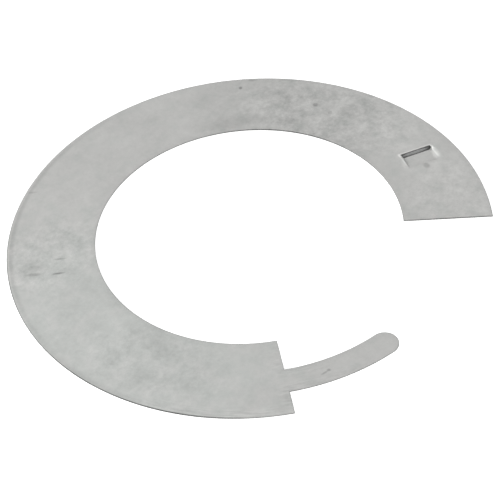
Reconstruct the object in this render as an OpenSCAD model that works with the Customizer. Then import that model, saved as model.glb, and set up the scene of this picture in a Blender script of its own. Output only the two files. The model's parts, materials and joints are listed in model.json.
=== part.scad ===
// Storm collar: a flat part-ring of galvanised sheet, stamped in one piece, with a tongue
// on one end and a pressed slot near the other. Drawn round a flue pipe with the tongue in
// the slot, it closes into a shallow cone that sheds rain past the hole in the roof.
// Millimetres. The sheet lies flat in XY with its underside at Z = 0. The centre of the
// pipe hole is the origin, and -Y runs through the middle of the gap between the ends.

/* [Ring] */
// Diameter of the pipe hole in the flat sheet
hole_d = 154.6; // [100:0.1:400]
// Width of the ring, from the pipe hole to the outer edge
ring_w = 44.45; // [40:0.05:80]
// Angle of the gap between the two ends
gap_angle = 80.5; // [60:0.5:88]
// Thickness of the sheet
sheet_t = 0.5; // [0.4:0.05:1]

/* [Sheared edges] */
// Width of the rolled-over band that shearing leaves along an edge
roll_w = 0.9; // [0.4:0.1:1.2]
// Drop of the top face at a sheared edge
roll_drop = 0.12; // [0.05:0.01:0.2]

/* [Tongue] */
// Width of the tongue
tongue_w = 13.4; // [8:0.1:18]
// Length of the tongue along its middle, from the ring's end to its round tip
tongue_len = 56.8; // [30:0.1:70]
// Distance from the edge of the pipe hole to the middle of the tongue
tongue_in = 25; // [18:0.1:28]

/* [Slot] */
// Angle round the ring from its end to the middle of the ramp's lip
slot_angle = 30.4; // [20:0.1:60]
// Turn of the cut away from the radial line
slot_skew = 7.9; // [0:0.1:12]
// Clearance at each side of the tongue, on the floor of the ramp
slot_clear = 0.5; // [0.3:0.1:2]
// Width of the slit between the ramp's lip and the sheet beyond it
slit_w = 1.7; // [0.8:0.1:2.5]

/* [Ramp] */
// Length of the pressed ramp, from its lip to where it runs out in the sheet
ramp_len = 10; // [6:0.1:14]
// Depth to which the ramp is pressed at its lip
ramp_drop = 1.5; // [1:0.1:3]
// Distance that the ramp moves towards the pipe hole over its length
ramp_slant = 0.9; // [0:0.1:2]
// Hollowness of the ramp along its inner side, where 1 is straight
inner_bow = 2; // [1:0.1:8]
// Hollowness of the ramp along its outer side, where 1 is straight
outer_bow = 6; // [1:0.1:8]

/* [Walls of the ramp] */
// Width of the stretched wall nearer the pipe hole
inner_wall = 1.4; // [0.8:0.1:4]
// Width of the stretched wall nearer the outer edge, beside most of the ramp
outer_wall = 3.4; // [2:0.1:4]
// Width of that outer wall at the slit
slit_wall = 1.2; // [0.8:0.1:2]
// Width of that outer wall where the ramp runs out
end_wall = 0.5; // [0.3:0.1:2]
// Flat border between the walls and the rest of the sheet
border_w = 0.3; // [0.2:0.1:1]

/* [Hidden] */

hole_r = hole_d / 2;
outer_r = hole_r + ring_w;
ring_angle = 360 - gap_angle;
slot_end = gap_angle / 2 - 90;
tongue_end = slot_end + ring_angle;

tongue_r = hole_r + tongue_in;
tongue_reach = (tongue_len - tongue_w / 2) / tongue_r * 180 / PI;
// Angle by which the tongue's strip runs back into the ring, past the rolled edge there
root_lap = 2 * roll_w / tongue_r * 180 / PI;

ramp_half = tongue_w / 2 + slot_clear;
slit_in = ramp_half + inner_wall;
slit_out = ramp_half + slit_wall;
window_in = slit_in + ramp_slant + border_w;
window_out = ramp_half + outer_wall + border_w;

// Overlap of the patch's border with the sheet round it
lap = border_w / 2;
// Height of the cutters above the sheet, and their run past an edge
past = 1;
// Angle of ring beyond each end that the end's cut takes off
end_spare = past / 2 / outer_r * 180 / PI;
// How suddenly the outer wall takes on its full width after the slit, and loses it at its end
wall_start = 14;
wall_finish = 8;
roll_steps = 5;
wall_steps = 8;
floor_steps = 6;
ramp_steps = 16;
$fn = 240;

// Top face of a sheared edge, inwards from the edge: how far in, and how high
function roll_point(k) = [
    roll_w * (1 - sin(90 * (1 - k / roll_steps))),
    sheet_t - roll_drop * (1 - cos(90 * (1 - k / roll_steps)))
];

// Smooth step from 0 to 1
function smooth(s) = s * s * (3 - 2 * s);

// One column of the formed patch: [side, how far down its wall, how far across the floor].
// The two outermost stand at the border of the patch, a step above the top of a wall.
function patch_columns() = concat(
    [for (k = [-1:wall_steps]) [-1, k / wall_steps, 0]],
    [for (k = [1:floor_steps - 1]) [0, 1, k / floor_steps]],
    [for (k = [wall_steps:-1:-1]) [1, k / wall_steps, 1]]
);

// Width of a wall at a share of the ramp's length from the slit
function wall_width(side, along) =
    side < 0
        ? inner_wall
        : outer_wall
            - (outer_wall - slit_wall) * pow(1 - along, wall_start)
            - (outer_wall - end_wall) * pow(along, wall_finish);

// Place across the ramp of a column of the patch
function patch_x(column, along) =
    column[1] < 0
        ? (column[0] < 0 ? -window_in : window_out)
        : ramp_half * (2 * column[2] - 1)
            + column[0] * wall_width(column[0], along) * (1 - column[1])
            - ramp_slant * along;

// Depth of the floor as a share of its full depth. Most of its width rises with its inner
// side, and a trough beside the outer wall stays deep for longer.
function floor_depth(across, along) =
    let (trough = across * across)
    1 - pow(along, inner_bow) * (1 - trough) - pow(along, outer_bow) * trough;

// Share of the floor's depth that a wall has reached: steepest at the top of the inner wall,
// and more evenly sloped down the outer wall
function wall_depth(side, down) =
    let (hollow = 1 - pow(1 - down, 2))
    down < 0 ? 0 : side < 0 ? hollow : (hollow + smooth(down)) / 2;

// Point of the patch's upper face, or of its lower face one sheet's thickness under it. The
// row after the ramp's last one is the border.
function patch_point(column, row, under) =
    let (along = min(row / ramp_steps, 1))
    [
        patch_x(column, along),
        -ramp_len * along - (row > ramp_steps ? border_w : 0),
        (under ? 0 : sheet_t)
            - ramp_drop * floor_depth(column[2], along) * wall_depth(column[0], column[1])
    ];

// Section of a strip with both edges sheared, standing at its place along X
module strip_section(from, to) {
    polygon(concat(
        [[from, 0], [to, 0]],
        [for (k = [0:roll_steps]) [to - roll_point(k)[0], roll_point(k)[1]]],
        [for (k = [roll_steps:-1:0]) [from + roll_point(k)[0], roll_point(k)[1]]]
    ));
}

// Half of a strip's section, from its middle to a sheared edge
module half_section(width) {
    polygon(concat(
        [[0, 0], [width, 0]],
        [for (k = [0:roll_steps]) [width - roll_point(k)[0], roll_point(k)[1]]],
        [[0, sheet_t]]
    ));
}

// Cutter that shears an edge along +X and rolls it over, with the sheet on its +Y side and
// everything cut away as far back as given
module edge_cut(from, to, back) {
    translate([from, 0, 0])
        rotate([90, 0, 90])
            linear_extrude(to - from)
                polygon(concat(
                    [[-back, -past], [0, -past]],
                    [for (k = [0:roll_steps]) roll_point(k)],
                    [[roll_w, sheet_t + past], [-back, sheet_t + past]]
                ));
}

// Moves its children to the middle of the ramp's lip, with +X outwards along it and +Y
// across the slit
module at_slot() {
    rotate([0, 0, slot_end + slot_angle])
        translate([tongue_r, 0, 0])
            rotate([0, 0, -slot_skew])
                children();
}

// The ring, cut square at both ends
module ring() {
    difference() {
        rotate([0, 0, slot_end - end_spare])
            rotate_extrude(angle = ring_angle + 2 * end_spare)
                strip_section(hole_r, outer_r);
        rotate([0, 0, slot_end])
            edge_cut(hole_r - past, outer_r + past, past);
        rotate([0, 0, tongue_end])
            mirror([0, 1, 0])
                edge_cut(hole_r - past, outer_r + past, past);
    }
}

// The tongue: a strip that follows the ring's curve, with a full round tip
module tongue() {
    rotate([0, 0, tongue_end + tongue_reach]) {
        mirror([0, 1, 0])
            rotate_extrude(angle = tongue_reach + root_lap)
                strip_section(tongue_r - tongue_w / 2, tongue_r + tongue_w / 2);
        translate([tongue_r, 0, 0])
            rotate_extrude(angle = 180)
                half_section(tongue_w / 2);
    }
}

// Opening in the ring for the formed patch, and the slit beyond it with its rolled edge
module slot_window() {
    length = ramp_len + border_w - lap;
    at_slot() {
        translate([lap - window_in, -length, -past])
            cube([window_in + window_out - 2 * lap, length, sheet_t + 2 * past]);
        translate([0, slit_w, 0])
            edge_cut(-slit_in, slit_out, slit_w + past);
    }
}

// The ramp, pressed down at the slit, with the stretched walls at its sides
module slot_ramp() {
    columns = patch_columns();
    count = len(columns);
    rows = ramp_steps + 2;
    upper = [for (j = [0:rows - 1]) for (c = columns) patch_point(c, j, false)];
    lower = [for (j = [0:rows - 1]) for (c = columns) patch_point(c, j, true)];
    under = len(upper);
    last = under - count;
    at_slot()
        polyhedron(
            points = concat(upper, lower),
            faces = concat(
                [for (j = [0:rows - 2]) for (i = [0:count - 2])
                    let (a = j * count + i, b = a + count)
                        each [[a, a + 1, b + 1], [a, b + 1, b]]],
                [for (j = [0:rows - 2]) for (i = [0:count - 2])
                    let (a = under + j * count + i, b = a + count)
                        each [[a, b + 1, a + 1], [a, b, b + 1]]],
                [for (i = [0:count - 2]) [i + 1, i, under + i, under + i + 1]],
                [for (i = [0:count - 2]) [last + i, last + i + 1, under + last + i + 1, under + last + i]],
                [for (j = [0:rows - 2])
                    let (a = j * count) [a, a + count, under + a + count, under + a]],
                [for (j = [0:rows - 2])
                    let (a = j * count + count - 1) [a + count, a, under + a, under + a + count]]
            )
        );
}

module collar() {
    color("silver") {
        difference() {
            ring();
            slot_window();
        }
        tongue();
        slot_ramp();
    }
}

collar();
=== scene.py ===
"""The looks of a storm collar: a flat part-ring of galvanised sheet, stamped in one piece, with
a tongue on one end and a pressed slot near the other."""
import json
import math

import bpy
import numpy as np
from mathutils import Matrix, Vector


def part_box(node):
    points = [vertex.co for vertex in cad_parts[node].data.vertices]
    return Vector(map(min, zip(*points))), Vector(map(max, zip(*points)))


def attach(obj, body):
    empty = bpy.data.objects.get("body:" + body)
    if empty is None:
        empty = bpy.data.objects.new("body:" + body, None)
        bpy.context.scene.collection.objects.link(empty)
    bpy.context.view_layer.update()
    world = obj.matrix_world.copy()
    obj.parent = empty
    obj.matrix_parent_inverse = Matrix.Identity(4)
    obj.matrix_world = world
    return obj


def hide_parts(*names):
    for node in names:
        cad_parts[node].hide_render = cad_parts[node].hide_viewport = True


bl_info = {
    "name": "Storm Collar",
    "version": (1, 0, 0),
    "blender": (4, 5, 0),
    "location": "3D View > Sidebar > Storm Collar",
    "description": "Builds the stamped sheet of a storm collar, its finish and a plain stage",
    "category": "Object",
}

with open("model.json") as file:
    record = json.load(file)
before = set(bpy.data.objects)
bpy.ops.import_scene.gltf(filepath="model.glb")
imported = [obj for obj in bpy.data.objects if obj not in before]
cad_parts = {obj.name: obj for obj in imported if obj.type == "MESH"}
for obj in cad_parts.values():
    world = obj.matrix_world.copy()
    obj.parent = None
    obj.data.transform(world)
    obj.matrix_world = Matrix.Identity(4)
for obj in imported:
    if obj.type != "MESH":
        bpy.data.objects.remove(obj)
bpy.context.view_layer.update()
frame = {"record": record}

# One millimetre in the scene's metres
MM = 0.001
# Length in metres that is too short to tell from nothing
NEAR = 1e-6
# Angle between two faces from which the edge between them is shaded as a sharp one
CREASE_ANGLE = math.radians(32)

# Sizes that the frame gives, in metres
LOW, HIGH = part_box("collar")
PIPE_HOLE = next(m for m in frame["record"]["mounts"] if m["name"] == "pipe_hole")
HOLE_R = PIPE_HOLE["dims"]["r_mm"] * MM
OUTER_R = HIGH.x
SHEET_T = HIGH.z
RAMP_DROP = -LOW.z

# Shares of a rolled edge's width, closer together towards the edge, where it curves most
BAND = np.array([0, 0.03, 0.1, 0.22, 0.4, 0.66, 1])

# All the lists of spots start a line with an ellipse on the sheet: X, Y, half length and half
# width in millimetres, and turn in degrees.
# Parts of the sheet where the coat differs: added mottling, and share of light lost
ZONES = (
    (94, 22, 66, 38, 106, 0.65, 0.02),      # beyond the hole, on the slot's side
    (76, 61, 45, 30, 126, 0.1, 0.03),       # far side of the hole
    (103, -24, 44, 30, 76, 0, -0.05),       # beyond the slot
    (82, -68, 34, 34, 0, 0.35, -0.045),     # slot end
    (-73, 68, 36, 30, 0, 0.5, -0.035),      # left side
    (-102, 20, 45, 34, 80, 0.1, -0.035),    # between the left side and the tongue
    (-95, -23, 45, 30, 100, 0.3, 0.01),     # towards the tongue
    (-80, -76, 24, 14, 133, 0, 0.045),      # outer edge beside the tongue
    (-49, -90, 26, 14, -29, 0, 0.035),      # first half of the tongue
)

# Soft stains: share of light lost
STAINS = (
    (58, 61, 28, 10, -44, 0.14),
    (77.5, 38.8, 10, 9, 0, 0.08),
    (102.8, 14.1, 10, 9, 0, 0.05),
    (61.7, 86.1, 9, 5, 44, 0.05),
    (35.7, 99.1, 6, 6, 0, 0.05),
    (-40.2, 89.6, 9, 8, 44, 0.05),
    (-86, 69, 12, 9, -46, 0.13),
    (-78, 18.1, 16, 6, 77, 0.06),
    (-84, -14, 32, 10, 100, 0.07),
)

# Small marks with a clear outline: share of light lost. The last one is not a mark but painted
# shade in the deep corner at the outer end of the slit.
MARKS_AND_SLIT_SHADE = (
    (96.6, 33.4, 2.4, 2.0, 44, 0.32),
    (96.0, 22.9, 2.2, 1.6, 44, 0.16),
    (84.2, 76.6, 1.7, 1.3, 44, 0.42),
    (92.9, 75.9, 3.0, 1.1, -51, 0.2),
    (-45.4, 109.4, 3.8, 0.9, -46, 0.14),
    (-87.9, 65.3, 5.2, 1.5, -46, 0.28),
    (-71.9, 62.3, 4.0, 0.9, -46, 0.24),
    (-79.5, 55.6, 4.3, 0.9, -42, 0.42),
    (-50.0, -89.5, 1.3, 1.0, -46, 0.34),
    (-52.5, -89.0, 2.6, 0.7, -14, 0.26),
    (90.7, -44.2, 3.0, 2.2, 63, 0.3),
    # painted shade at the outer end of the slit
    (103.6, -37.6, 1.5, 1.0, 63, 0.6),
)

# Painted highlights round the slot, where its walls and the ends of the slit catch the light:
# share of light gained
SLOT_HIGHLIGHTS = (
    (101.2, -43.8, 6.5, 3.0, 63, 0.14),     # outer wall
    (104.8, -38.0, 1.3, 1.0, 63, 0.55),     # outer end of the slit
    (88.7, -28.2, 2.2, 1.4, 63, 0.25),      # inner end of the slit
    (84.8, -34.1, 5.5, 1.8, 44, 0.14),      # shoulder of the inner wall
)

# Stretches of the sheared edges where painted shade deepens their dark line
EDGE_SHADE_STRETCHES = (
    (-122, -4, 80, 80, 0),
    (-98, 72, 50, 30, 54),
    (68, 37, 62, 62, 0),
    (64, -78, 42, 14, -50),
    (-108, -56, 52, 30, -63),
)

# Single areas, each with the share of its ellipse over which it is at its full strength
RIM_SHADE_AREA = (-68, 101, 110, 110, 0, 0.3)    # painted shade in a line inside the outer edge
BORDER_AREA = (-122, 3, 52, 52, 0, 0)           # the darker border along the edges
SCUFFED_AREA = (-88, -76, 80, 48, -55, 0.3)     # fine scuffs by the outer edge
AGED_AREA = (-92, 0, 130, 95, 75, 0.2)          # weathered zinc
SLIT_LIGHT_STRIP = (98.6, -31.3, 9.5, 1.4, -27, 0.5)  # painted light on the floor seen through the slit

# Places and widths of the two lamps in metres, where the camera is on the side of -Y
KEY_PLACE = (-1.26, -0.2, 1.17)
KEY_WIDTH = 0.8
FRONT_PLACE = (0.1, -1.3, 0.75)
FRONT_WIDTH = 0.5

# Width of the camera's sensor in millimetres, and of the picture in pixels
SENSOR_W = 36
PICTURE_W = 500


class CollarSizes(bpy.types.PropertyGroup):
    """Sizes of the sheet that the frame doesn't give."""

    gap_angle: bpy.props.FloatProperty(
        name="Gap", description="Angle between the ring's two ends",
        default=math.radians(80.5), subtype="ANGLE")
    roll_w: bpy.props.FloatProperty(
        name="Roll width", description="Width of the rolled-over band along a sheared edge",
        default=0.0009, unit="LENGTH", precision=5)
    roll_drop: bpy.props.FloatProperty(
        name="Roll drop", description="Drop of the top face at a sheared edge",
        default=0.00012, unit="LENGTH", precision=5)
    tongue_w: bpy.props.FloatProperty(
        name="Tongue width", description="Width of the tongue",
        default=0.0134, unit="LENGTH", precision=5)
    tongue_len: bpy.props.FloatProperty(
        name="Tongue length", description="Length of the tongue along its middle, to its tip",
        default=0.0568, unit="LENGTH", precision=5)
    tongue_in: bpy.props.FloatProperty(
        name="Tongue inset", description="Distance from the pipe hole to the tongue's middle",
        default=0.025, unit="LENGTH", precision=5)
    slot_angle: bpy.props.FloatProperty(
        name="Slot angle", description="Angle round the ring from its end to the ramp's lip",
        default=math.radians(30.4), subtype="ANGLE")
    slot_skew: bpy.props.FloatProperty(
        name="Slot skew", description="Turn of the slit away from the radial line",
        default=math.radians(7.9), subtype="ANGLE")
    slot_clear: bpy.props.FloatProperty(
        name="Slot clearance", description="Clearance at each side of the tongue in the slot",
        default=0.0005, unit="LENGTH", precision=5)
    slit_w: bpy.props.FloatProperty(
        name="Slit width", description="Width of the slit beyond the ramp's lip",
        default=0.0017, unit="LENGTH", precision=5)
    ramp_len: bpy.props.FloatProperty(
        name="Ramp length", description="Length of the pressed ramp",
        default=0.01, unit="LENGTH", precision=5)
    inner_bow: bpy.props.FloatProperty(
        name="Inner bow", description="Hollowness of the ramp's inner side: 1 is straight",
        default=2, min=1)
    outer_bow: bpy.props.FloatProperty(
        name="Outer bow", description="Hollowness of the ramp's outer side: 1 is straight",
        default=6, min=1)
    ramp_slant: bpy.props.FloatProperty(
        name="Ramp slant", description="How far the ramp has moved inwards where it ends",
        default=0.0009, unit="LENGTH", precision=5)
    inner_wall: bpy.props.FloatProperty(
        name="Inner wall", description="Width of the ramp's wall nearer the pipe hole",
        default=0.0014, unit="LENGTH", precision=5)
    outer_wall: bpy.props.FloatProperty(
        name="Outer wall", description="Width of the ramp's wall nearer the outer edge",
        default=0.0034, unit="LENGTH", precision=5)
    slit_wall: bpy.props.FloatProperty(
        name="Outer wall at the slit", description="Width of the outer wall at the slit",
        default=0.0012, unit="LENGTH", precision=5)
    end_wall: bpy.props.FloatProperty(
        name="Outer wall at its end", description="Width of the outer wall where the ramp ends",
        default=0.0005, unit="LENGTH", precision=5)
    border_w: bpy.props.FloatProperty(
        name="Border", description="Flat border between the walls and the rest of the sheet",
        default=0.0003, unit="LENGTH", precision=5)
    run_out: bpy.props.FloatProperty(
        name="Run-out", description="Share of the ramp's length over which its end is rounded off",
        default=0.06, min=0, max=1, subtype="FACTOR")


class CollarFinish(bpy.types.PropertyGroup):
    """Colours and scales of the galvanised finish."""

    zinc: bpy.props.FloatVectorProperty(
        name="Zinc", description="Colour of the dull zinc coat",
        default=(0.50, 0.50, 0.488, 1), size=4, min=0, max=1, subtype="COLOR")
    aged_zinc: bpy.props.FloatVectorProperty(
        name="Aged zinc", description="Colour of the coat where it has weathered a little",
        default=(0.49, 0.503, 0.487, 1), size=4, min=0, max=1, subtype="COLOR")
    # The cut steel's colour is darkened to near black, as painted shade on the sheared walls.
    cut_steel_and_shade: bpy.props.FloatVectorProperty(
        name="Cut steel", description="Colour of the bare steel on the sheared faces",
        default=(0.03, 0.03, 0.031, 1), size=4, min=0, max=1, subtype="COLOR")
    mottle: bpy.props.FloatProperty(
        name="Mottling", description="Depth of the mottling where it is heaviest",
        default=0.56, min=0, max=1, subtype="FACTOR")
    mottle_size: bpy.props.FloatProperty(
        name="Mottling size", description="Size of the largest patches of the mottling",
        default=0.009, unit="LENGTH", precision=4)
    cloud: bpy.props.FloatProperty(
        name="Clouding", description="Depth of the broad soft changes in tone",
        default=0.05, min=0, max=1, subtype="FACTOR")
    cloud_size: bpy.props.FloatProperty(
        name="Clouding size", description="Size of the broad soft changes in tone",
        default=0.035, unit="LENGTH", precision=4)
    quiet: bpy.props.FloatProperty(
        name="Quiet share", description="Share of the full mottling that is found everywhere",
        default=0.3, min=0, max=1, subtype="FACTOR")
    roughness: bpy.props.FloatProperty(
        name="Roughness", description="Mean roughness of the coat",
        default=0.6, min=0, max=1, subtype="FACTOR")
    metallic: bpy.props.FloatProperty(
        name="Metallic", description="Share of the coat that shines like bare metal",
        default=0.25, min=0, max=1, subtype="FACTOR")


class CollarStage(bpy.types.PropertyGroup):
    """Camera, lamps and floor."""

    focal_px: bpy.props.FloatProperty(
        name="Focal length", description="Focal length in pixels of the 500 pixel frame",
        default=1510)
    elevation: bpy.props.FloatProperty(
        name="Elevation", description="Height of the camera above the sheet's plane",
        default=math.radians(44.16), subtype="ANGLE")
    azimuth: bpy.props.FloatProperty(
        name="Azimuth", description="Turn of the camera about the pipe hole's axis",
        default=math.radians(-46.25), subtype="ANGLE")
    roll: bpy.props.FloatProperty(
        name="Roll", description="Roll of the camera about its own axis",
        default=math.radians(-5.43), subtype="ANGLE")
    distance: bpy.props.FloatProperty(
        name="Distance", description="Distance from the camera to its target",
        default=0.7458, unit="LENGTH", precision=4)
    target_across: bpy.props.FloatProperty(
        name="Target across", description="Target's offset from the hole's axis, to the right",
        default=-0.0004, unit="LENGTH", precision=4)
    target_away: bpy.props.FloatProperty(
        name="Target away", description="Target's offset from the hole's axis, away",
        default=-0.0148, unit="LENGTH", precision=4)
    dome: bpy.props.FloatProperty(
        name="Dome", description="Strength of the even light from all round",
        default=0.32, min=0)
    key: bpy.props.FloatProperty(
        name="Key", description="Power of the large soft lamp on the left, in watts",
        default=17, min=0)
    front: bpy.props.FloatProperty(
        name="Front", description="Power of the low soft lamp on the camera's side, in watts",
        default=11.3, min=0)
    floor_glow: bpy.props.FloatProperty(
        name="Floor glow", description="Brightness that the camera sees added to the floor",
        default=0.8, min=0)
    floor_drop: bpy.props.FloatProperty(
        name="Floor drop", description="Height of the sheet's underside above the floor",
        default=0.00265, unit="LENGTH", precision=5)


def ease(share):
    """Smooth step: three times the square of the share, less twice its cube."""
    return share * share * (3 - 2 * share)


def rolled(distance, width, drop):
    """Drop of the top face at a distance in from a sheared edge: a quarter of an ellipse that
    is as wide as the rolled band and as deep as its drop, and level beyond the band."""
    left = np.clip(1 - distance / width, 0, 1)
    return drop * (1 - np.sqrt(1 - left ** 2))


def turned(points, angle):
    """The points turned about Z by an angle: x cos a - y sin a, and x sin a + y cos a."""
    c, s = math.cos(angle), math.sin(angle)
    return points @ np.array([[c, s], [-s, c]])


def steps(start, stop, count):
    """Evenly spaced values after start, up to and with stop."""
    return np.linspace(start, stop, count + 1)[1:]


class SheetPlan:
    """Lines of the grid that the whole sheet is laid out on, seen from above.

    Columns run round the ring at constant distance from its centre, and rows run across it.
    At the slot, both are bent to the sides of the pressed ramp.
    """

    # Steps down a wall of the ramp, across its floor, and along it
    wall_steps = 10
    floor_steps = 8
    ramp_rows = 18
    # Steps in the plain parts: inside and outside the slot, before it, beside it, on the tongue
    inner_steps = 5
    outer_steps = 4
    lead_rows = 14
    bent_rows = 6
    tongue_rows = 36
    # Steps round the tongue's tip
    tip_turns = 28
    # Turn from row to row in the long plain part, in degrees
    row_turn = 1.1
    # Angle beyond each end of the slot over which the rows are bent back to radial lines
    spread = math.radians(6)
    # How suddenly the outer wall takes on its full width after the slit, and loses it at its end
    wall_start = 14
    wall_finish = 8

    def __init__(self, z):
        self.z = z
        self.tongue_r = HOLE_R + z.tongue_in
        self.tongue_half = z.tongue_w / 2
        self.ramp_half = self.tongue_half + z.slot_clear
        self.slit_inner = -self.ramp_half - z.inner_wall
        self.slit_outer = self.ramp_half + z.slit_wall
        self.slot_end = z.gap_angle / 2 - math.pi / 2
        self.tongue_end = self.slot_end + 2 * math.pi - z.gap_angle
        self.tip_at = self.tongue_end + (z.tongue_len - self.tongue_half) / self.tongue_r
        self.slot_at = self.slot_end + z.slot_angle
        self.lay_columns()
        self.lay_rows()

    def lay_columns(self):
        """Columns from the pipe hole to the outer edge: the rolled band, a plain part, the slot's
        inner wall, its floor, its outer wall, a plain part and the outer rolled band."""
        z = self.z
        band = z.roll_w * BAND
        flat = self.tongue_half - z.roll_w
        floor = np.concatenate([
            [-self.tongue_half], -self.tongue_half + band[1:],
            steps(-flat, flat, self.floor_steps)[:-1],
            self.tongue_half - band[:0:-1], [self.tongue_half]])
        down = np.linspace(0, 1, self.wall_steps + 1)
        wall = np.ones(self.wall_steps + 2)
        # Of each of the slot's columns: how far down a wall it is, its place on the floor, the
        # side that its wall is on, and whether it is the flat border beyond a wall
        self.down = np.concatenate([[0], down, np.ones(len(floor)), down[::-1], [0]])
        self.floor = np.concatenate([0 * wall, floor, 0 * wall])
        self.side = np.concatenate([-wall, 0 * floor, wall])
        self.border = np.zeros(len(self.side), bool)
        self.border[[0, -1]] = True
        slot = self.tongue_r + self.across(0)
        before = np.concatenate([
            HOLE_R + band, steps(HOLE_R + z.roll_w, slot[0], self.inner_steps)[:-1]])
        after = np.concatenate([
            steps(slot[-1], OUTER_R - z.roll_w, self.outer_steps)[:-1], OUTER_R - band[::-1]])
        self.radius = np.concatenate([before, slot, after])
        self.first = len(before)
        self.last = len(before) + len(slot) - 1
        tongue = self.first + self.wall_steps + 2
        self.tongue = slice(tongue, tongue + len(floor))

    def across(self, along):
        """Places across the ramp of the slot's columns, at a share of the ramp's length from the
        slit. The floor moves inwards in step with that share. The outer wall's full width lacks
        a part at the slit, by a high power of what is left, and one at the far end, by a high
        power of the share."""
        z = self.z
        grown = (
            z.outer_wall
            - (z.outer_wall - z.slit_wall) * (1 - along) ** self.wall_start
            - (z.outer_wall - z.end_wall) * along ** self.wall_finish)
        width = np.where(self.side < 0, z.inner_wall, grown)
        wall = self.side * (self.ramp_half + width * (1 - self.down))
        rim = np.where(
            self.side < 0, self.slit_inner - z.ramp_slant - z.border_w,
            self.ramp_half + z.outer_wall + z.border_w)
        place = np.where(self.side == 0, self.floor, wall) - z.ramp_slant * along
        return np.where(self.border, rim, place)

    def lay_rows(self):
        """Rows from the slot end to the tongue end: the rolled band, a plain part, the part that
        is bent to the slot with the ramp and the slit in it, the long plain part, and the band."""
        z = self.z
        band = z.roll_w * BAND / HOLE_R
        ramp = -z.ramp_len * np.concatenate([
            [1 + z.run_out], np.linspace(1, 0, self.ramp_rows + 1)])
        beyond = z.slit_w + z.roll_w * BAND
        self.local_y = np.concatenate([ramp, beyond])
        slot = self.slot_at + self.local_y / self.tongue_r
        self.bend_from = slot[0] - self.spread
        self.bend_to = slot[-1] + self.spread
        lead = np.concatenate([
            self.slot_end + band,
            steps(self.slot_end + band[-1], self.bend_from, self.lead_rows),
            steps(self.bend_from, slot[0], self.bent_rows)[:-1]])
        sweep = int(math.degrees(self.tongue_end - self.bend_to) / self.row_turn)
        trail = np.concatenate([
            steps(slot[-1], self.bend_to, self.bent_rows),
            steps(self.bend_to, self.tongue_end - band[-1], sweep),
            self.tongue_end - band[-2::-1]])
        self.angle = np.concatenate([lead, slot, trail])
        self.root = len(lead)
        self.slit = len(lead) + len(ramp) - 1
        self.clear = len(lead) + len(slot) - 1

    def ring_points(self):
        """Plan of the ring: radius times the cosine and sine of the angle. The slot's own points
        then move to the sides of the ramp. Every other point moves as the nearest of those does,
        less and less towards the ring's edges and the ends of the bent part."""
        plain = np.stack([
            np.cos(self.angle)[:, None] * self.radius,
            np.sin(self.angle)[:, None] * self.radius], axis=-1)
        along = np.clip(-self.local_y / self.z.ramp_len, 0, 1)[:, None]
        local = np.stack([
            self.across(along),
            np.repeat(self.local_y[:, None], len(self.side), axis=1)], axis=-1)
        placed = turned(local, -self.z.slot_skew) + [self.tongue_r, 0]
        target = turned(placed, self.slot_at)
        moved = target - plain[self.root:self.clear + 1, self.first:self.last + 1]
        row = np.clip(np.arange(len(self.angle)), self.root, self.clear) - self.root
        column = np.clip(np.arange(len(self.radius)), self.first, self.last) - self.first
        near_row = np.interp(
            self.angle,
            [self.bend_from, self.angle[self.root], self.angle[self.clear], self.bend_to],
            [0, 1, 1, 0])
        near_column = np.interp(
            self.radius,
            [HOLE_R + self.z.roll_w, self.radius[self.first], self.radius[self.last],
             OUTER_R - self.z.roll_w],
            [0, 1, 1, 0])
        weight = near_row[:, None] * near_column
        return plain + moved[row][:, column] * weight[..., None]

    def tongue_points(self):
        """Plan of the tongue after its root: the ring's columns carried on round its centre."""
        angle = steps(self.tongue_end, self.tip_at, self.tongue_rows)
        radius = self.radius[self.tongue]
        return np.stack([
            np.cos(angle)[:, None] * radius, np.sin(angle)[:, None] * radius], axis=-1)

    def tip_points(self):
        """Plan of the round tip: half circles about the end of the tongue's middle line, one
        through each pair of its columns, without their ends and the centre."""
        radius = self.radius[self.tongue] - self.tongue_r
        radius = radius[radius > NEAR]
        angle = np.linspace(0, math.pi, self.tip_turns + 1)[1:-1]
        local = np.stack([
            np.cos(angle)[:, None] * radius + self.tongue_r,
            np.sin(angle)[:, None] * radius], axis=-1)
        return turned(local, self.tip_at)

    def ramp_depth(self):
        """Depth of each of the ring's points below the sheet. Each side of the floor is as deep
        as one less the share of the ramp's length raised to that side's bow, averaged over a
        short way both ahead and behind, and the floor between follows the square of how far
        across it is. The inner wall falls as one less the square of what is left, and the outer
        wall by the mean of that and the smooth step."""
        z = self.z
        samples = np.linspace(-1, 1, 9) * z.run_out
        along = np.clip(-self.local_y[:, None, None] / z.ramp_len + samples, 0, 1)
        across = (np.where(self.side == 0, self.floor / self.ramp_half, self.side) + 1) / 2
        trough = across ** 2
        share = (
            1 - (along ** z.inner_bow).mean(axis=-1) * (1 - trough)
            - (along ** z.outer_bow).mean(axis=-1) * trough)
        hollow = 1 - (1 - self.down) ** 2
        fall = np.where(self.side < 0, hollow, (hollow + ease(self.down)) / 2)
        depth = np.zeros((len(self.angle), len(self.radius)))
        depth[self.root:self.clear + 1, self.first:self.last + 1] = (
            RAMP_DROP * np.where(self.local_y[:, None] > 0, 0, share) * fall)
        return depth

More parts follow.
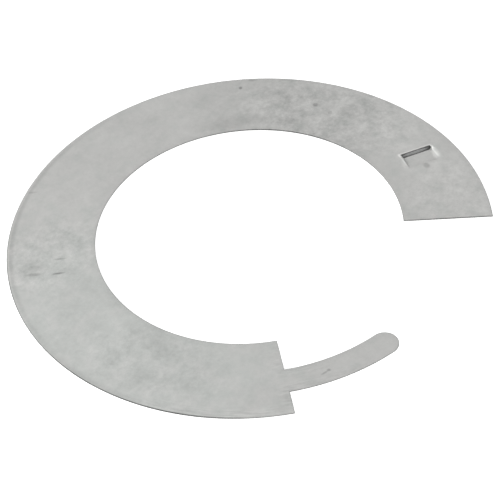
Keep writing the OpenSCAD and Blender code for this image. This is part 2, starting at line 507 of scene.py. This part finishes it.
    def edge_distance(self, points):
        """Distance from each of the ring's points to the nearest sheared edge: the hole, the
        rim, the two square ends, apart from the tongue's root, and the far side of the slit."""
        radius = np.hypot(points[..., 0], points[..., 1])
        at_slot_end = turned(points, -self.slot_end)
        behind = (at_slot_end[..., 0] > 0) & (at_slot_end[..., 1] > -NEAR)
        from_slot_end = np.where(behind, at_slot_end[..., 1], np.inf)
        at_tongue_end = turned(points, -self.tongue_end)
        behind = (at_tongue_end[..., 0] > 0) & (at_tongue_end[..., 1] < NEAR)
        in_root = self.tongue_half - np.abs(radius - self.tongue_r)
        from_tongue_end = np.where(
            behind, np.hypot(at_tongue_end[..., 1], np.maximum(in_root, 0)), np.inf)
        slot = turned(turned(points, -self.slot_at) - [self.tongue_r, 0], self.z.slot_skew)
        beside = np.maximum.reduce([
            slot[..., 0] - self.slit_outer, self.slit_inner - slot[..., 0],
            np.zeros_like(radius)])
        above = slot[..., 1] - self.z.slit_w
        from_slit = np.where(above > -NEAR, np.hypot(beside, above), np.inf)
        nearest = np.minimum.reduce([
            radius - HOLE_R, OUTER_R - radius, from_slot_end, from_tongue_end, from_slit])
        return np.maximum(nearest, 0)


def grid_faces(index):
    """Faces of a grid of point numbers: each point with its three neighbours up and along."""
    return np.stack([
        index[:-1, :-1], index[:-1, 1:], index[1:, 1:], index[1:, :-1]], axis=-1).reshape(-1, 4)


def sheet_surface(z):
    """The whole sheet as (points in plan, ramp depth, distance to an edge, four-sided faces,
    three-sided faces).

    The ring, the tongue and its tip are three grids that share the points where they meet, and
    a fan of triangles closes the middle of the tip. The slit is the stretch of faces that is
    left out between the ramp's lip and the sheet beyond it.
    """
    plan = SheetPlan(z)
    ring = plan.ring_points()
    rows, columns = ring.shape[:2]
    ring_index = np.arange(rows * columns).reshape(rows, columns)
    depth = plan.ramp_depth()
    edge = plan.edge_distance(ring)

    tongue = plan.tongue_points()
    width = tongue.shape[1]
    start = ring_index.size
    tongue_index = start + np.arange(tongue.shape[0] * width).reshape(-1, width)
    tongue_index = np.vstack([ring_index[-1, plan.tongue], tongue_index])
    from_side = plan.tongue_half - np.abs(plan.radius[plan.tongue] - plan.tongue_r)
    tongue_edge = np.repeat(from_side[None], tongue.shape[0], axis=0)

    middle = width // 2
    tip = plan.tip_points()
    start += tongue.shape[0] * width
    tip_index = start + np.arange(tip.shape[0] * middle).reshape(-1, middle)
    last = tongue_index[-1]
    tip_index = np.vstack([last[middle + 1:], tip_index, last[middle - 1::-1]])
    tip_edge = np.repeat(from_side[None, middle + 1:], tip.shape[0], axis=0)
    centre = np.full(plan.tip_turns, last[middle])
    fan = np.stack([centre, tip_index[:-1, 0], tip_index[1:, 0]], axis=-1)

    ring_faces = grid_faces(ring_index)
    in_slit = np.zeros((rows - 1, columns - 1), bool)
    in_slit[plan.slit, plan.first + 1:plan.last - 1] = True
    quads = np.vstack([
        ring_faces[~in_slit.ravel()], grid_faces(tongue_index), grid_faces(tip_index)])
    points = np.vstack([ring.reshape(-1, 2), tongue.reshape(-1, 2), tip.reshape(-1, 2)])
    flat = np.zeros(tongue.shape[0] * width + tip.shape[0] * middle)
    depth = np.concatenate([depth.ravel(), flat])
    edge = np.concatenate([edge.ravel(), tongue_edge.ravel(), tip_edge.ravel()])
    return points, depth, edge, quads, fan


def open_edges(quads, fan):
    """The edges that only one face uses, each in the direction that its face gives it."""
    pairs = np.vstack([
        np.stack([quads, np.roll(quads, -1, axis=1)], axis=-1).reshape(-1, 2),
        np.stack([fan, np.roll(fan, -1, axis=1)], axis=-1).reshape(-1, 2)])
    count = pairs.max() + 1
    key = pairs[:, 0] * count + pairs[:, 1]
    back = pairs[:, 1] * count + pairs[:, 0]
    return pairs[~np.isin(key, back)]


def make_sheet(z):
    """The sheet as a closed mesh: the top face, the same face one thickness lower without the
    rolled edges, and a sheared wall along every open edge between the two."""
    points, depth, edge, quads, fan = sheet_surface(z)
    top = SHEET_T - depth - rolled(edge, z.roll_w, z.roll_drop)
    count = len(points)
    vertices = np.vstack([
        np.column_stack([points, top]), np.column_stack([points, -depth])])
    rim = open_edges(quads, fan)
    walls = np.column_stack([rim[:, 1], rim[:, 0], rim[:, 0] + count, rim[:, 1] + count])
    fours = np.vstack([quads, quads[:, ::-1] + count, walls])
    threes = np.vstack([fan, fan[:, ::-1] + count])

    mesh = bpy.data.meshes.new("collar_sheet")
    mesh.vertices.add(len(vertices))
    mesh.vertices.foreach_set("co", vertices.ravel())
    mesh.loops.add(fours.size + threes.size)
    mesh.loops.foreach_set("vertex_index", np.concatenate([fours.ravel(), threes.ravel()]))
    sizes = np.concatenate([np.full(len(fours), 4), np.full(len(threes), 3)])
    mesh.polygons.add(len(sizes))
    mesh.polygons.foreach_set("loop_start", np.cumsum(sizes) - sizes)
    mesh.polygons.foreach_set("use_smooth", np.ones(len(sizes), bool))
    is_wall = np.zeros(len(sizes), np.int32)
    is_wall[len(quads) * 2:len(fours)] = 1
    mesh.polygons.foreach_set("material_index", is_wall)
    # What the coat reads: millimetres to the nearest sheared edge, and one on the underside
    for name, values in (
            ("from_edge", np.concatenate([edge, edge]) / MM),
            ("underside", np.repeat([0, 1], count))):
        attribute = mesh.attributes.new(name, "FLOAT", "POINT")
        attribute.data.foreach_set("value", values.astype(np.float32))
    mesh.update(calc_edges=True)
    mesh.validate()
    mesh.set_sharp_from_angle(angle=CREASE_ANGLE)
    return mesh


class Shading:
    """Short ways to add nodes to one node tree. Each gives the new node's output."""

    def __init__(self, tree):
        self.nodes, self.links = tree.nodes, tree.links

    def put(self, socket, value):
        """Link an output to the socket, or set a plain value on it."""
        if isinstance(value, bpy.types.NodeSocket):
            self.links.new(value, socket)
        else:
            socket.default_value = value

    def add(self, kind, output, inputs, **settings):
        """A node of a kind, with its settings made and its inputs linked or set."""
        node = self.nodes.new("ShaderNode" + kind)
        for name, value in settings.items():
            setattr(node, name, value)
        for name, value in inputs.items():
            self.put(node.inputs[name], value)
        return node.outputs[output]

    def noise(self, place, size, detail, roughness, output="Fac"):
        """A noise texture with features of the given size."""
        return self.add("TexNoise", output, {
            "Vector": place, "Scale": 1 / size, "Detail": detail, "Roughness": roughness})

    def remap(self, value, low, high, to_low, to_high, kind="LINEAR"):
        """The value stretched from one range to another, and held inside it."""
        return self.add("MapRange", "Result", {
            "Value": value, "From Min": low, "From Max": high,
            "To Min": to_low, "To Max": to_high}, interpolation_type=kind)

    def reckon(self, operation, *values):
        """Values put through one arithmetic step."""
        return self.add("Math", "Value", dict(enumerate(values)), operation=operation)

    def times(self, one, other):
        """The product of two values."""
        return self.reckon("MULTIPLY", one, other)

    def plus(self, base, mask, amount):
        """The base with an amount of the mask added."""
        return self.reckon("MULTIPLY_ADD", mask, amount, base)

    def vector(self, operation, output, *values):
        """Vectors put through one arithmetic step."""
        return self.add("VectorMath", output, dict(enumerate(values)), operation=operation)

    def part(self, vector, axis):
        """One coordinate of a vector."""
        return self.add("SeparateXYZ", axis, {"Vector": vector})

    def swing(self, noise, low, high):
        """Noise, nearly all of which lies between 0.3 and 0.7, stretched to two other values."""
        return self.remap(noise, 0.3, 0.7, low, high)

    def fade(self, value, full, none):
        """One up to a first value, nothing from a second one on, and a smooth step between."""
        return self.remap(value, full, none, 1, 0, "SMOOTHSTEP")

    def rise(self, value, none, full):
        """Nothing up to a first value, one from a second one on, and a smooth step between."""
        return self.remap(value, none, full, 0, 1, "SMOOTHSTEP")

    def spot(self, place, x, y, length, width, turn, core=0):
        """One in an ellipse given in millimetres, as far out as the core's share of it, and
        nothing beyond it, with a smooth step between."""
        local = self.add("Mapping", "Vector", {
            "Vector": place, "Location": (x * MM, y * MM, 0),
            "Rotation": (0, 0, math.radians(turn)),
            "Scale": (length * MM, width * MM, 1)}, vector_type="TEXTURE")
        return self.fade(self.vector("LENGTH", "Value", local), core, 1)


def new_material(name):
    """A new material, as (material, its shading, its main shader's sockets)."""
    material = bpy.data.materials.new(name)
    material.use_nodes = True
    tree = material.node_tree
    return material, Shading(tree), tree.nodes["Principled BSDF"].inputs


def slot_middle(z):
    """Middle of the ramp's lip in plan, as X and Y, and the angle round the ring there."""
    angle = z.gap_angle / 2 - math.pi / 2 + z.slot_angle
    radius = HOLE_R + z.tongue_in
    return radius * math.cos(angle), radius * math.sin(angle), angle


def coat_place(shade):
    """Object coordinates. Those of the underside are moved down by two metres, so that the upper
    face's spots don't reach it and its mottling is its own."""
    shift = -2
    underside = shade.add("Attribute", "Fac", {}, attribute_name="underside")
    down = shade.add("CombineXYZ", "Vector", {"Z": shade.times(underside, shift)})
    return shade.vector("ADD", "Vector", shade.add("TexCoord", "Object", {}), down)


def spotted_tone(shade, place, quiet):
    """Tone of the coat with its zones, stains and marks, the painted shade at the outer end of the
    slit and the painted highlights round the slot, and the strength of its mottling. The tone
    starts at one and the strength at the quiet share, and each spot adds its own numbers. Noise
    shifts the outlines of the zones and the stains."""
    waver_size, waver_reach, zone_core, mark_and_shade_core = 0.008, 0.012, 0.4, 0.35
    noise = shade.noise(place, waver_size, 3, 0.6, "Color")
    waver = shade.vector("SUBTRACT", "Vector", noise, (0.5, 0.5, 0.5))
    uneven = shade.vector(
        "MULTIPLY_ADD", "Vector", waver, (waver_reach, waver_reach, 0), place)
    tone, strength = 1.0, quiet
    for *ellipse, mottling, loss in ZONES:
        spot = shade.spot(uneven, *ellipse, zone_core)
        strength = shade.plus(strength, spot, mottling)
        tone = shade.plus(tone, spot, -loss)
    # The marks end with painted shade, and the spots added last are painted highlights.
    for spots, where, core, sign in (
            (STAINS, uneven, 0, -1), (MARKS_AND_SLIT_SHADE, place, mark_and_shade_core, -1), (SLOT_HIGHLIGHTS, place, 0, 1)):
        for *ellipse, change in spots:
            tone = shade.plus(tone, shade.spot(where, *ellipse, core), sign * change)
    return tone, strength


def mottled(shade, place, finish):
    """Change in tone by fine noise, a little further down than up."""
    up, down = 0.45, 0.55
    noise = shade.noise(place, finish.mottle_size, 6, 0.84)
    return shade.swing(noise, finish.mottle * up, -finish.mottle * down)


def clouded(shade, place, finish):
    """Change in tone by broad noise, as far up as down."""
    noise = shade.noise(place, finish.cloud_size, 2, 0.5)
    return shade.remap(noise, 0.25, 0.75, -finish.cloud, finish.cloud)


def rim_shade_line(shade, place):
    """Painted shade: one on a line inside the outer edge, by the distance to that edge, within
    its area, standing in for a shallow roll-over turned from the light.
    """
    inward = shade.reckon("SUBTRACT", OUTER_R, shade.vector("LENGTH", "Value", place))
    line = shade.times(
        shade.rise(inward, 0.8 * MM, 1.8 * MM), shade.fade(inward, 2.2 * MM, 4.2 * MM))
    return shade.times(line, shade.spot(place, *RIM_SHADE_AREA))


def slot_rim_highlight(shade, place, z):
    """One on a narrow band round the slot: a painted highlight for the light that its rims catch,
    where pressing has also stretched the coat bright. It goes by the distance outside a
    rectangle that holds the slot, and fades out beside the ramp."""
    x, y, angle = slot_middle(z)
    half = z.tongue_w / 2 + z.slot_clear
    low = (-half - z.inner_wall - z.ramp_slant / 2, -z.ramp_len * 2)
    high = (half + z.slit_wall, z.slit_w)
    local = shade.add("Mapping", "Vector", {
        "Vector": place, "Location": (x, y, 0),
        "Rotation": (0, 0, angle - z.slot_skew)}, vector_type="TEXTURE")
    middle = ((low[0] + high[0]) / 2, (low[1] + high[1]) / 2, 0)
    reach = ((high[0] - low[0]) / 2, (high[1] - low[1]) / 2, 1)
    away = shade.vector("ABSOLUTE", "Vector", shade.vector("SUBTRACT", "Vector", local, middle))
    outside = shade.vector(
        "MAXIMUM", "Vector", shade.vector("SUBTRACT", "Vector", away, reach), (0, 0, 0))
    distance = shade.vector("LENGTH", "Value", outside)
    band = shade.times(
        shade.remap(distance, 0, 0.2 * MM, 0, 1), shade.fade(distance, 0.3 * MM, 1.3 * MM))
    return shade.times(
        band, shade.rise(shade.part(local, "Y"), -z.ramp_len, -z.ramp_len / 2))


def edge_lines_and_shade(shade, place, from_edge):
    """Light taken at the sheared edges: a thin dark line, deepened by painted shade on the
    stretches listed for it, and a broad faint darker border, deepest in its area."""
    line, edge_shade, border, deep_border = 0.12, 0.5, 0.025, 0.11
    for ellipse in EDGE_SHADE_STRETCHES:
        line = shade.plus(line, shade.spot(place, *ellipse), edge_shade)
    border = shade.plus(border, shade.spot(place, *BORDER_AREA), deep_border)
    return shade.reckon(
        "ADD", shade.times(shade.fade(from_edge, 0.15, 0.6), line),
        shade.times(shade.fade(from_edge, 1, 4), border))


def scuffs(shade, place, from_edge):
    """Noise up to one either way, drawn out along the ring, near the sheared edges in its area.
    Its coordinates are the distance from the hole's axis and the way round the rim, made an
    eighth as long, with their seam in the gap."""
    size, drawn_out = 0.0012, 8
    turn = shade.reckon("ARCTAN2", shade.part(place, "X"), shade.part(place, "Y"))
    drawn = shade.add("CombineXYZ", "Vector", {
        "X": shade.vector("LENGTH", "Value", place),
        "Y": shade.times(turn, OUTER_R / drawn_out)})
    where = shade.times(shade.spot(place, *SCUFFED_AREA), shade.fade(from_edge, 2, 8))
    return shade.times(shade.swing(shade.noise(drawn, size, 2, 0.6), -1, 1), where)


def coat_colour(shade, place, finish):
    """Colour of the coat: fresh zinc, and aged zinc in its area, which noise makes ragged."""
    size, depth = 0.009, 0.6
    ragged = shade.swing(shade.noise(place, size, 2, 0.5), -depth, depth)
    aged = shade.reckon("ADD", shade.spot(place, *AGED_AREA), ragged)
    return shade.add(
        "Mix", "Result", {"Factor": aged, "A": finish.zinc, "B": finish.aged_zinc},
        data_type="RGBA")


def zinc_coat(finish, sizes):
    """Dull hot-dip zinc: its colour times a tone that starts with the placed spots, painted shade
    and highlights among them, and adds the mottling, the clouding, the lines at the edges and the
    slot, which are partly painted shade and highlight, and the scuffs."""
    # The rim's amount is painted shade, and the slot's is painted highlight.
    rim_shade, slot_highlight, scuff_depth = 0.13, 0.28, 0.11
    patch_size, roughness_spread = 0.004, 0.05
    grain_size, grain_height, grain_strength = 0.0012, 0.05 * MM, 0.2
    material, shade, shader = new_material("galvanised_sheet")
    place = coat_place(shade)
    from_edge = shade.add("Attribute", "Fac", {}, attribute_name="from_edge")
    tone, strength = spotted_tone(shade, place, finish.quiet)
    for change, amount in (
            (mottled(shade, place, finish), strength),
            (clouded(shade, place, finish), 1),
            (rim_shade_line(shade, place), -rim_shade),
            (slot_rim_highlight(shade, place, sizes), slot_highlight),
            (edge_lines_and_shade(shade, place, from_edge), -1),
            (scuffs(shade, place, from_edge), scuff_depth)):
        tone = shade.plus(tone, change, amount)
    shade.put(shader["Base Color"], shade.add(
        "VectorMath", "Vector", {"Vector": coat_colour(shade, place, finish), "Scale": tone},
        operation="SCALE"))
    shader["Metallic"].default_value = finish.metallic
    shade.put(shader["Roughness"], shade.swing(
        shade.noise(place, patch_size, 3, 0.6),
        finish.roughness - roughness_spread, finish.roughness + roughness_spread))
    shade.put(shader["Normal"], shade.add("Bump", "Normal", {
        "Height": shade.noise(place, grain_size, 2, 0.6),
        "Strength": grain_strength, "Distance": grain_height}))
    return material


def cut_face(finish):
    """Bare steel on the sheared walls, its colour darkened to paint the shade on them."""
    material, _, shader = new_material("cut_steel_and_shade")
    shader["Base Color"].default_value = finish.cut_steel_and_shade
    shader["Metallic"].default_value = 0.3
    shader["Roughness"].default_value = 0.6
    return material


class COLLAR_OT_sheet(bpy.types.Operator):
    """Build the stamped sheet with its ring, tongue and pressed slot, and finish it"""

    bl_idname = "collar.sheet"
    bl_label = "Stamped sheet"
    bl_options = {"REGISTER", "UNDO"}

    def execute(self, context):
        scene = context.scene
        mesh = make_sheet(scene.collar_sizes)
        mesh.materials.append(zinc_coat(scene.collar_finish, scene.collar_sizes))
        mesh.materials.append(cut_face(scene.collar_finish))
        sheet = bpy.data.objects.new("collar_sheet", mesh)
        scene.collection.objects.link(sheet)
        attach(sheet, "root")
        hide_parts("collar")
        return {"FINISHED"}


def soft_lamp(name, place, width, power):
    """A square area lamp that faces the middle of the sheet."""
    lamp = bpy.data.lights.new(name, "AREA")
    lamp.shape = "SQUARE"
    lamp.size = width
    lamp.energy = power
    holder = bpy.data.objects.new(name, lamp)
    holder.location = place
    holder.rotation_euler = (-Vector(place)).to_track_quat("-Z", "Y").to_euler()
    bpy.context.scene.collection.objects.link(holder)


def seen_rays(shade):
    """One for rays that the camera sees straight on, in a reflection or through glass."""
    path = shade.nodes.new("ShaderNodeLightPath").outputs
    either = shade.reckon("MAXIMUM", path["Is Camera Ray"], path["Is Glossy Ray"])
    return shade.reckon("MAXIMUM", either, path["Is Transmission Ray"])


def white_floor(stage, z):
    """A pale floor that takes the object's shadow. White is added to it for the rays that the
    camera sees. Round the point under the slot it is painted dark and gets no such white: painted
    shade that makes the slit look dark, apart from a strip of painted light where the middle of
    the slit is seen."""
    patch, patch_edge, reach = 0.012, 0.014, 3
    # The dark tone is painted shade under the slot, and the strip is painted light.
    dark, pale, strip = 0.35, 0.9, 0.6
    material, shade, shader = new_material("floor")
    place = shade.add("TexCoord", "Object", {})
    x, y, _ = slot_middle(z)
    away = shade.vector("DISTANCE", "Value", place, (x, y, -stage.floor_drop))
    shade.put(shader["Base Color"], shade.plus(
        shade.remap(away, patch, patch_edge, dark, pale), shade.spot(place, *SLIT_LIGHT_STRIP), strip))
    shader["Roughness"].default_value = 0.9
    shader["Specular IOR Level"].default_value = 0
    shader["Emission Color"].default_value = (1, 1, 1, 1)
    shade.put(shader["Emission Strength"], shade.times(
        seen_rays(shade), shade.remap(away, patch, patch_edge, 0, stage.floor_glow)))
    mesh = bpy.data.meshes.new("floor")
    corners = ((-reach, -reach), (reach, -reach), (reach, reach), (-reach, reach))
    mesh.from_pydata([(*corner, -stage.floor_drop) for corner in corners], [], [(0, 1, 2, 3)])
    mesh.materials.append(material)
    floor = bpy.data.objects.new("floor", mesh)
    bpy.context.scene.collection.objects.link(floor)


def white_world(stage):
    """An even dome that lights the sheet plainly and looks white behind it."""
    world = bpy.data.worlds.new("dome")
    world.use_nodes = True
    shade = Shading(world.node_tree)
    background = world.node_tree.nodes["Background"].inputs
    background["Color"].default_value = (1, 1, 1, 1)
    shade.put(background["Strength"], shade.remap(seen_rays(shade), 0, 1, stage.dome, 1))
    bpy.context.scene.world = world


def photo_camera(stage):
    """A camera that looks at the sheet from the photograph's side and height."""
    data = bpy.data.cameras.new("camera")
    data.sensor_width = SENSOR_W
    data.lens = stage.focal_px * SENSOR_W / PICTURE_W
    data.clip_start = 0.01
    data.clip_end = 50
    turn = Matrix.Rotation(stage.azimuth, 4, "Z")
    target = turn @ Vector((stage.target_across, stage.target_away, 0))
    back = turn @ Vector((0, -math.cos(stage.elevation), math.sin(stage.elevation)))
    right = turn @ Vector((1, 0, 0))
    up = back.cross(right)
    tilt = Matrix.Rotation(stage.roll, 3, back)
    axes = Matrix((tilt @ right, tilt @ up, back)).transposed()
    camera = bpy.data.objects.new("camera", data)
    camera.matrix_world = Matrix.Translation(target + back * stage.distance) @ axes.to_4x4()
    bpy.context.scene.collection.objects.link(camera)
    bpy.context.scene.camera = camera


class COLLAR_OT_stage(bpy.types.Operator):
    """Lay the floor, set the lamps and the world, and place the camera"""

    bl_idname = "collar.stage"
    bl_label = "Stage"
    bl_options = {"REGISTER", "UNDO"}

    def execute(self, context):
        stage = context.scene.collar_stage
        context.scene.view_settings.view_transform = "Standard"
        photo_camera(stage)
        white_floor(stage, context.scene.collar_sizes)
        white_world(stage)
        turn = Matrix.Rotation(stage.azimuth, 4, "Z")
        soft_lamp("key", turn @ Vector(KEY_PLACE), KEY_WIDTH, stage.key)
        soft_lamp("front", turn @ Vector(FRONT_PLACE), FRONT_WIDTH, stage.front)
        return {"FINISHED"}


class COLLAR_PT_panel(bpy.types.Panel):
    """Lists the steps that build the collar, with their sizes and colours"""

    bl_idname = "COLLAR_PT_panel"
    bl_label = "Storm Collar"
    bl_space_type = "VIEW_3D"
    bl_region_type = "UI"
    bl_category = "Storm Collar"

    def draw(self, context):
        layout = self.layout
        for group, step in (
                (context.scene.collar_sizes, COLLAR_OT_sheet),
                (context.scene.collar_finish, None),
                (context.scene.collar_stage, COLLAR_OT_stage)):
            box = layout.box()
            for name in group.__annotations__:
                box.prop(group, name)
            if step:
                box.operator(step.bl_idname)


CLASSES = (
    CollarSizes, CollarFinish, CollarStage, COLLAR_OT_sheet, COLLAR_OT_stage, COLLAR_PT_panel)


def register():
    """Adds the classes, and the three groups of settings to the scene."""
    for cls in CLASSES:
        bpy.utils.register_class(cls)
    bpy.types.Scene.collar_sizes = bpy.props.PointerProperty(type=CollarSizes)
    bpy.types.Scene.collar_finish = bpy.props.PointerProperty(type=CollarFinish)
    bpy.types.Scene.collar_stage = bpy.props.PointerProperty(type=CollarStage)


def unregister():
    """Takes away what register adds, in the reverse order."""
    for name in ("collar_stage", "collar_finish", "collar_sizes"):
        delattr(bpy.types.Scene, name)
    for cls in reversed(CLASSES):
        bpy.utils.unregister_class(cls)


def main():
    register()
    bpy.ops.collar.sheet()
    bpy.ops.collar.stage()


if __name__ == "__main__":
    main()
